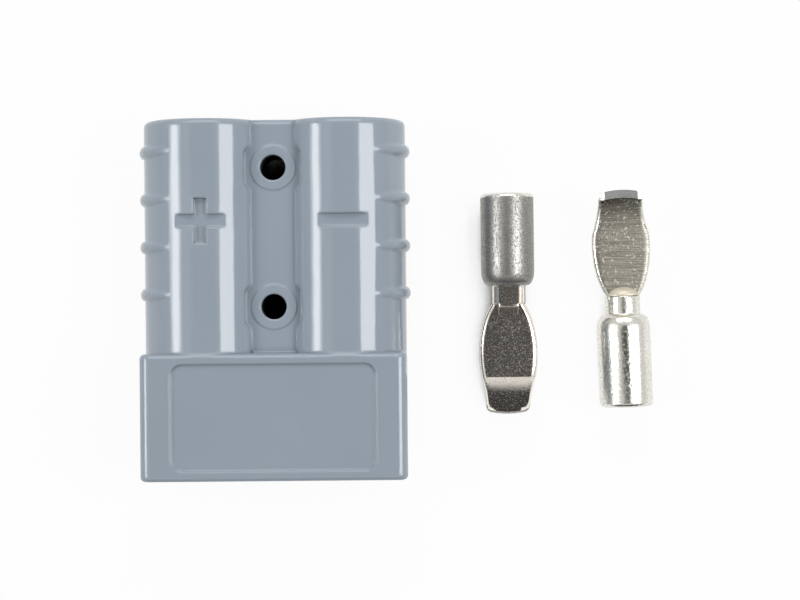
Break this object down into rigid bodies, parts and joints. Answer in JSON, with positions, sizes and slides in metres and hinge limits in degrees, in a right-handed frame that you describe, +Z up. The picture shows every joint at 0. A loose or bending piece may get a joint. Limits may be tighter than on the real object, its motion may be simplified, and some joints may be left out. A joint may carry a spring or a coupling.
{
  "type": "genderless power connector",
  "caption": "Genderless flat power connector housing with hooded mating end, ribbed grip sides and leaf springs, laid out with its loose crimp contacts.",
  "frame": {"origin": "middle of the footprint on the table, at the lowest points of the housing and contacts", "axes": "+X from the housing toward the loose contacts, +Y toward the cable end of the housing, +Z up, out of the face with the label field"},
  "size_m": [0.0697, 0.0478, 0.016],
  "materials": {
    "housing_plastic": "blue-grey moulded polycarbonate, polished mould surface",
    "spring_steel": "rolled spring strip, plain",
    "contact_plating": "bright silver plating over copper, with light tumbling scratches"
  },
  "bodies": {
    "root": {"housing": "housing_plastic", "spring_plus": "spring_steel", "spring_minus": "spring_steel", "contact_face_up": "contact_plating", "contact_face_down": "contact_plating"}
  },
  "joints": []
}
